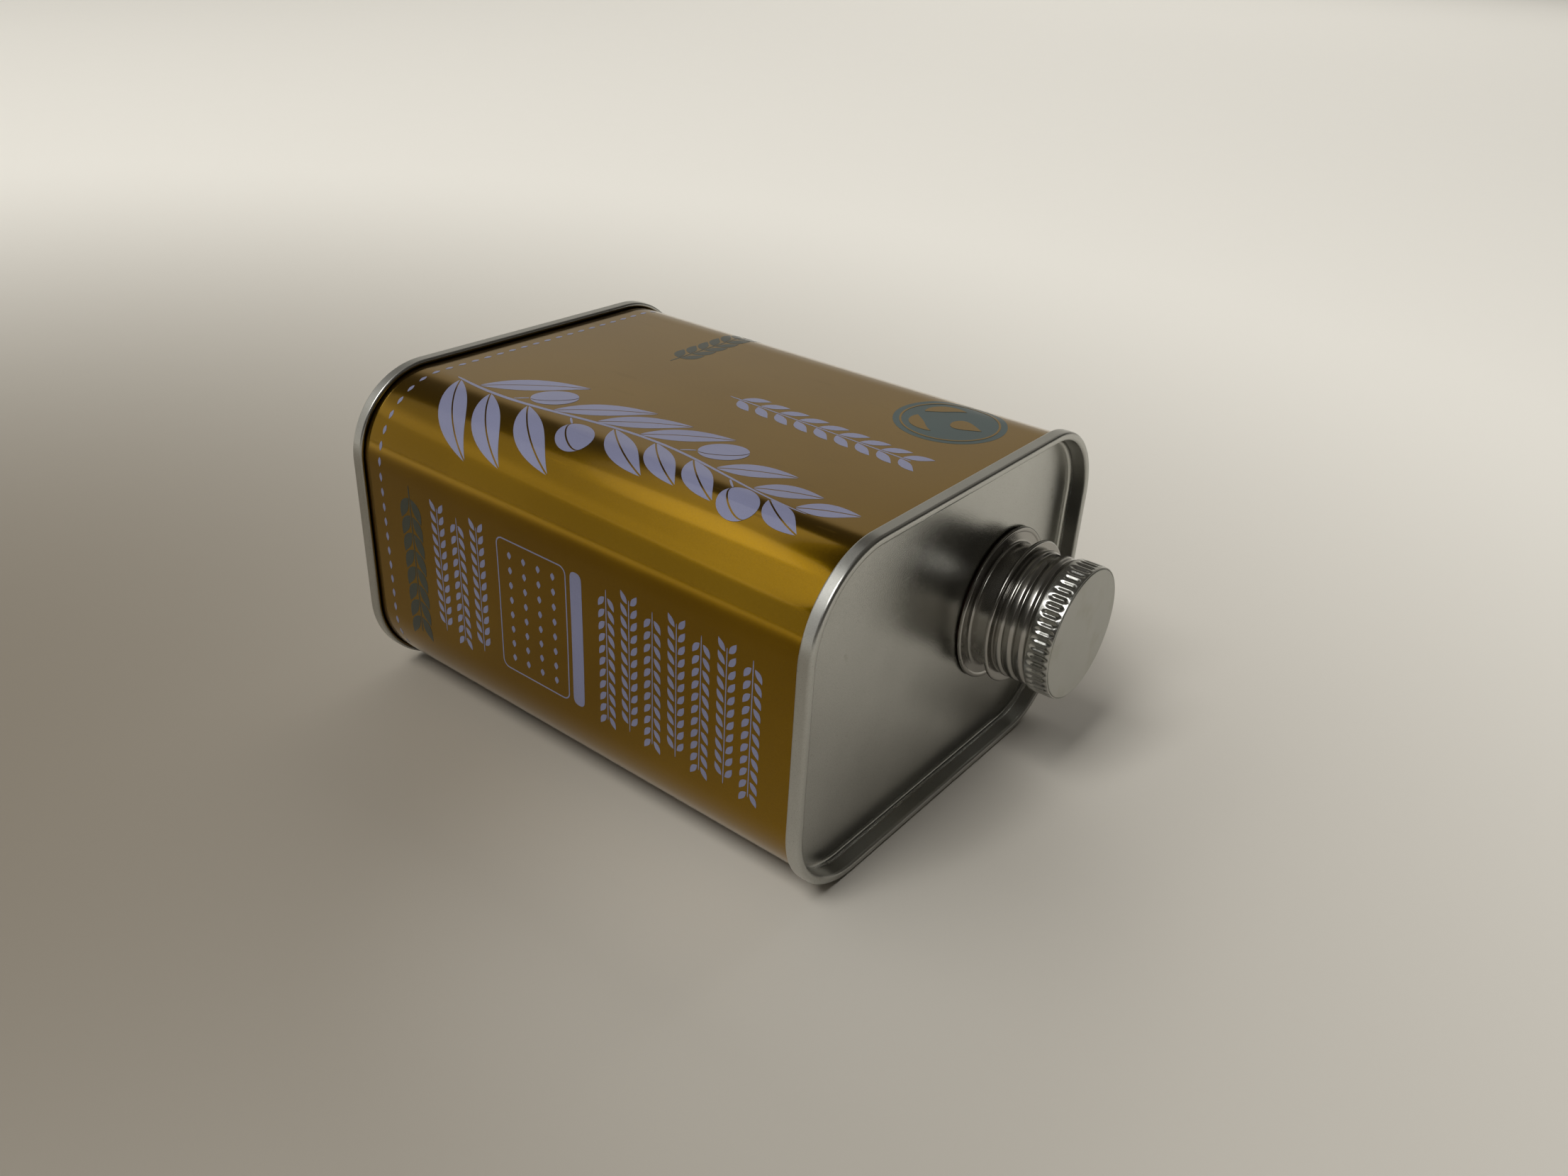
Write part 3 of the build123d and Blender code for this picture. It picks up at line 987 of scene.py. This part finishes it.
table = bpy.data.meshes.new("table_top")
corners = [(-reach, -reach, 0), (reach, -reach, 0), (reach, reach, 0), (-reach, reach, 0)]
table.from_pydata(corners, [], [(0, 1, 2, 3)])
table_top = bpy.data.objects.new("table_top", table)
bpy.context.scene.collection.objects.link(table_top)
pale, place = new_finish("pale_table")
# Painted shadow: the table's paint grows darker towards a spot left of the tin, where shade falls.
colour = away_from(place, -0.13, -0.17).between(0.03, 0.58).mixed(painted_shadow_paint, pale_paint)
# Painted light: lighter paint right before the tin's near side, filling the shade that the tin casts
# there.
painted_light_spot = 1 - away_from(place, 0.04, -0.05).between(0.0, 0.07)
colour = (0.22 * painted_light_spot).mixed(colour, pale_paint)
close_finish(place, {"Base Color": colour, "Roughness": 0.5 + 0.1 * place.noise(40, 2)})
dress(table_top, pale)


# Light: a room with a pale far wall, a dim ceiling and dark near and right sides, soft lamps in
# front of the tin and over the far side of the table and, to the left, a window in panes.
watts = 2.4
lamp_tint, window_tint = (1.0, 0.99, 0.97), (1.0, 0.985, 0.96)
window_distance, window_width = 2.2, 1.6
dimmest = 0.32


def soft_light(name, place, width, height, radiance, tint, target=(0, 0, middle_z), mirrors=True):
    """A rectangular lamp at a place, turned to face its target, the tin unless told otherwise,
    and as bright as its radiance says. It may be kept out of what bright metal mirrors. Its
    data come back, so that a window can be given its fall of light."""
    lamp = bpy.data.lights.new(name, "AREA")
    lamp.shape = "RECTANGLE"
    lamp.size, lamp.size_y = width, height
    lamp.energy = watts * width * height * radiance
    lamp.color = tint
    light = bpy.data.objects.new(name, lamp)
    bpy.context.scene.collection.objects.link(light)
    light.visible_glossy = mirrors
    aim = Vector(target) - Vector(place)
    light.matrix_world = Matrix.Translation(place) @ aim.to_track_quat("-Z", "Y").to_matrix().to_4x4()
    return lamp


def mirrored(tilt):
    """Where the picture's line of sight goes on from the near rounded edge, at the spot whose
    normal is tilted so far forwards: the sight less twice its part along that normal."""
    sight = np.array([-0.585, 0.727, -0.359])
    normal = np.array([0, -np.sin(np.radians(tilt)), np.cos(np.radians(tilt))])
    return sight - 2 * sight.dot(normal) * normal


for name, low_tilt, high_tilt, radiance in (
    ("upper_pane", 28, 34.5, 1.28),
    ("middle_pane", 36.5, 60, 1.38),
    ("lower_pane", 61, 76, 0.58),
):
    middle = mirrored((low_tilt + high_tilt) / 2)
    chord = np.linalg.norm(mirrored(low_tilt) - mirrored(high_tilt))
    tall = window_distance * chord / np.sqrt(1 - chord ** 2 / 4)
    centre = tuple(window_distance * middle)
    pane = soft_light(name, centre, window_width, tall, radiance, window_tint)
    pane.use_nodes = True
    pane.node_tree.nodes.clear()
    start = Shade(pane.node_tree)
    along = start.make("NewGeometry", output="Position").axis(0)
    fall = dimmest + (1 - dimmest) * along.between(-1.75, -1.0)
    start.make("OutputLight", None, {"Surface": start.make("Emission", None, {"Strength": fall})})
soft_light("front_lamp", (-0.12, -1.32, 2.0), 0.95, 0.95, 11.0, lamp_tint)
soft_light("high_lamp", (-0.3, -3.3, 5.0), 2.2, 2.2, 10.8, lamp_tint, mirrors=False)
soft_light("far_lamp", (-1.1, 2.8, 2.6), 3.0, 3.0, 2.9, lamp_tint, (-1.1, 2.8, 0), mirrors=False)

world = bpy.data.worlds.new("room")
bpy.context.scene.world = world
world.use_nodes = True
world.node_tree.nodes.clear()
start = Shade(world.node_tree)
way = start.make("TexCoord", output="Generated")
near = (way.axis(0) * 0.6 - way.axis(1) * 0.75 + way.axis(2) * 0.25).between(-0.1, 0.45)
room = way.axis(2).between(0.47, 0.58).mixed(paint(184, 180, 171), paint(82, 79, 74))
aside = (way.axis(0) * 0.62 + way.axis(1) * 0.77).between(0.72, 0.88)
room = (aside * way.axis(2).between(0.03, 0.15)).mixed(room, paint(20, 19, 16))
room = near.mixed(room, paint(66, 63, 58))
start.make("OutputWorld", None, {"Surface": start.make("Background", None, {"Color": room})})


# Camera, at the photograph's place and angle. Its length of lens comes from the focal length in
# pixels over the picture's width.
picture_width = 2212
focal_pixels = 1760
camera_place = (0.13536, -0.16800, 0.14613)
camera = bpy.data.objects.new("camera", bpy.data.cameras.new("camera"))
bpy.context.scene.collection.objects.link(camera)
camera.data.sensor_width = 36
camera.data.lens = camera.data.sensor_width * focal_pixels / picture_width
camera.data.clip_start = 0.01
right = Vector((0.781228, 0.622158, 0.051015))
upward = Vector((-0.337399, 0.352078, 0.873042))
backward = Vector((0.525209, -0.699258, 0.484969))
turn = Matrix((right, upward, backward)).transposed().to_4x4()
camera.matrix_world = Matrix.Translation(camera_place) @ turn
bpy.context.scene.camera = camera
bpy.context.scene.view_settings.view_transform = "Standard"
